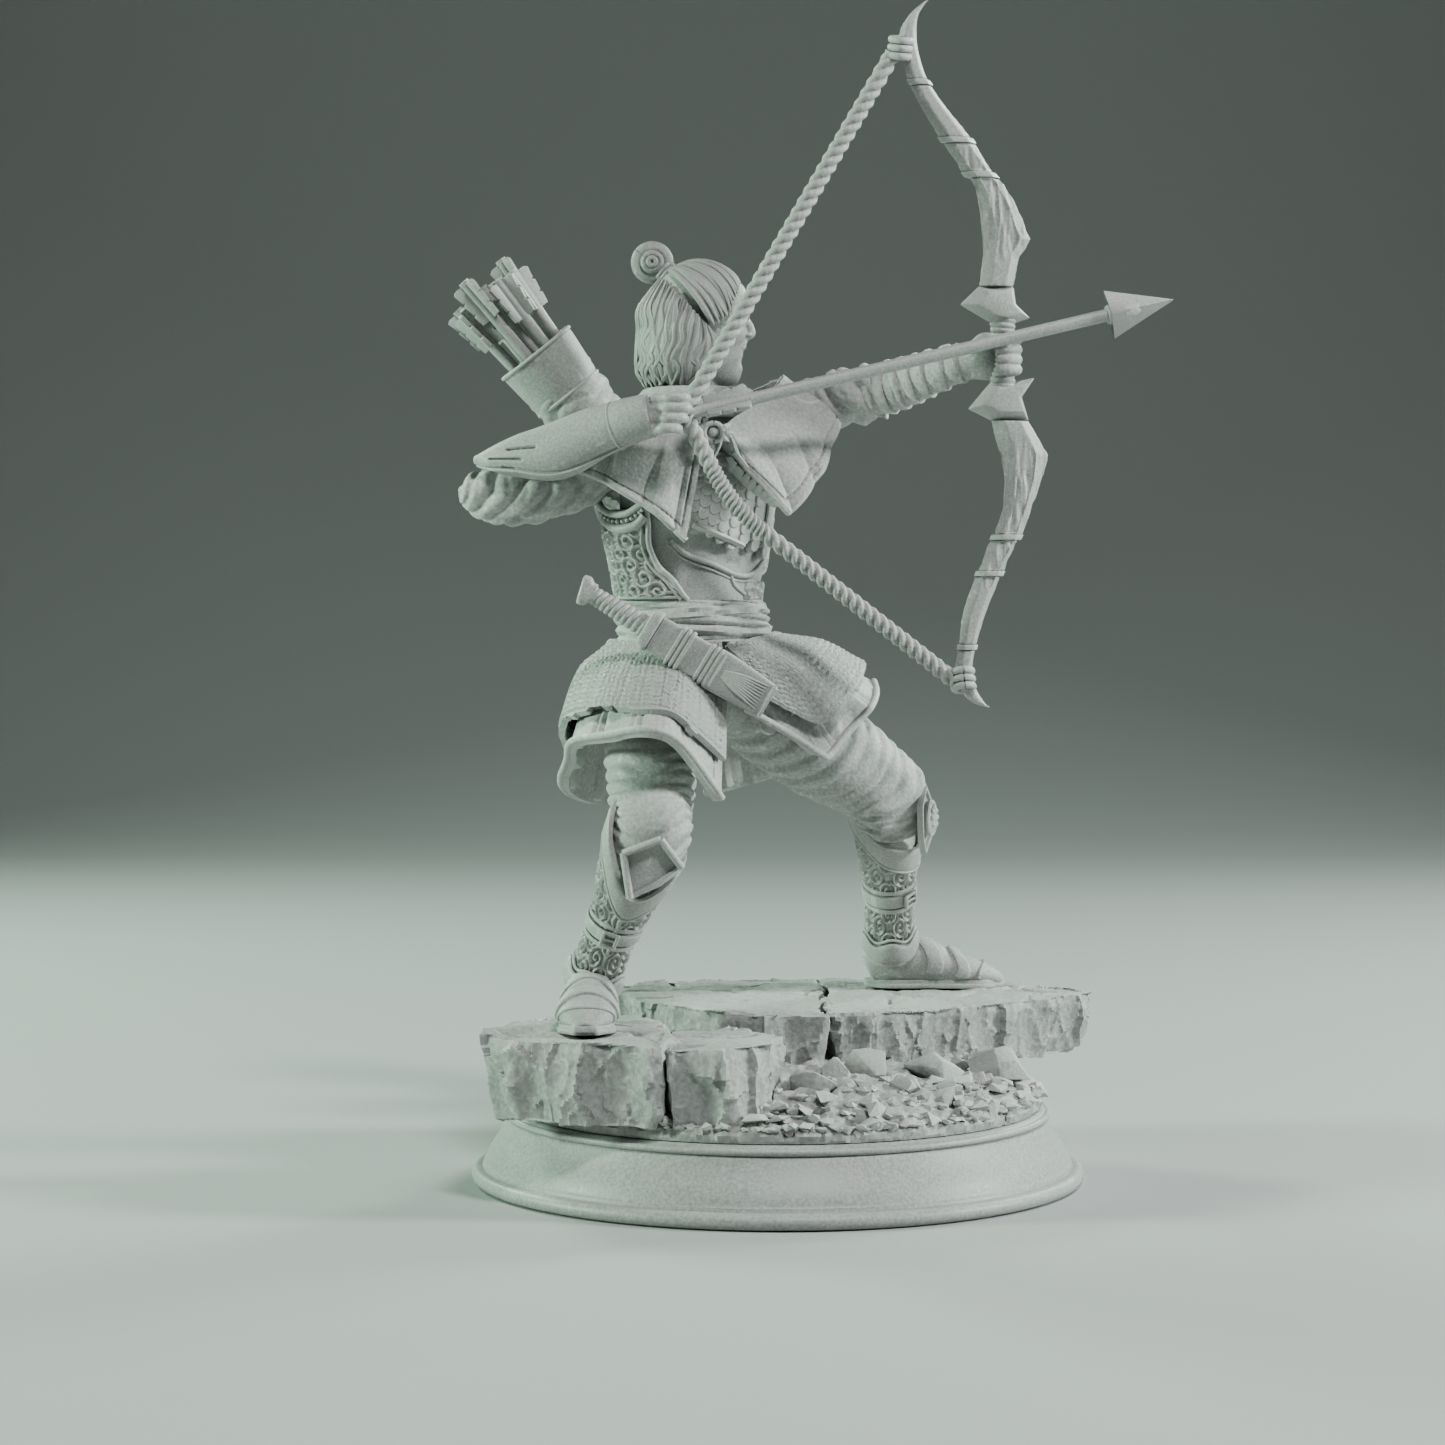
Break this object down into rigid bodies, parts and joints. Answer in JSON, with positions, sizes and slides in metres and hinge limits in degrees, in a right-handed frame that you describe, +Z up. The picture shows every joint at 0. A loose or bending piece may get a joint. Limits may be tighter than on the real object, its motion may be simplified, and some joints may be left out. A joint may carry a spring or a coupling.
{
  "type": "tabletop miniature figure",
  "caption": "Unpainted archer miniature drawing a recurve bow, in a wide lunge over broken paving on a round turned display plinth.",
  "frame": {"origin": "centre of the plinth's flat underside", "axes": "+Z up, -Y towards the side the figure is viewed from, +X the way the arrow points"},
  "size_m": [0.0579, 0.05, 0.0951],
  "materials": {
    "plinth": "smooth matte primer over turned resin",
    "stone": "rough matte primer over sculpted rock",
    "leather": "matte pale grey primer over cast resin",
    "armour": "matte pale grey primer over cast resin",
    "mail": "matte pale grey primer over cast resin",
    "cloth": "matte pale grey primer over cast resin",
    "skin": "matte pale grey primer over cast resin",
    "hair": "matte pale grey primer over cast resin",
    "wood": "matte pale grey primer over cast resin",
    "feather": "matte pale grey primer over cast resin",
    "cord": "matte pale grey primer over cast resin"
  },
  "bodies": {
    "plinth": {"plinth": "plinth"},
    "scenic_base": {"slab_left": "stone", "slab_front": "stone", "slab_rear": "stone", "slab_right": "stone", "boulders": "stone", "rubble_stones": "stone", "rubble_mound": "stone"},
    "head": {"head": "skin", "hair": "hair", "hair_bun": "hair", "hair_tie": "hair"},
    "quiver": {"quiver_tube": "leather", "quiver_collar": "leather", "quiver_arrows": "wood", "quiver_feathers": "feather"},
    "dagger": {"scabbard": "leather", "scabbard_bands": "armour", "dagger_grip": "leather", "dagger_guard": "armour", "dagger_pommel": "armour"},
    "figure": {"right_boot": "leather", "left_boot": "leather", "right_bracer": "leather", "right_wrist_band": "leather", "left_hand": "leather", "right_greave": "armour", "left_greave": "armour", "right_knee_guard": "armour", "left_knee_guard": "armour", "cuirass": "armour", "side_armour": "armour", "armhole_trim": "armour", "scale_panel": "armour", "chest_bar": "armour", "cape_clasp": "armour", "arrow_head": "armour", "bow_bands": "armour", "mail_skirt_right": "mail", "mail_skirt_left": "mail", "trousers": "cloth", "tunic_skirt_right": "cloth", "tunic_skirt_left": "cloth", "waist_sash": "cloth", "cape_right": "cloth", "cape_left": "cloth", "cape_back": "cloth", "cape_collar": "cloth", "right_sleeve": "cloth", "left_sleeve": "cloth", "left_forearm_wrap": "cloth", "right_hand": "skin", "bow_upper_limb": "wood", "bow_lower_limb": "wood", "bow_riser": "wood", "bow_guards": "wood", "arrow_shaft": "wood", "arrow_fletching": "feather", "bowstring_upper": "cord", "bowstring_lower": "cord"}
  },
  "joints": [
    {"name": "base_lift", "type": "slide", "parent": "plinth", "child": "scenic_base", "axis": [0, 0, 1], "range_m": [0, 0.006]},
    {"name": "figure_lift", "type": "slide", "parent": "scenic_base", "child": "figure", "axis": [0, 0, 1], "range_m": [0, 0.008]},
    {"name": "head_lift", "type": "slide", "parent": "figure", "child": "head", "axis": [0, 0, 1], "range_m": [0, 0.006]},
    {"name": "quiver_pull", "type": "slide", "parent": "figure", "child": "quiver", "axis": [0, 1, 0], "range_m": [0, 0.008]},
    {"name": "dagger_pull", "type": "slide", "parent": "figure", "child": "dagger", "axis": [0, -1, 0], "range_m": [0, 0.007]}
  ]
}
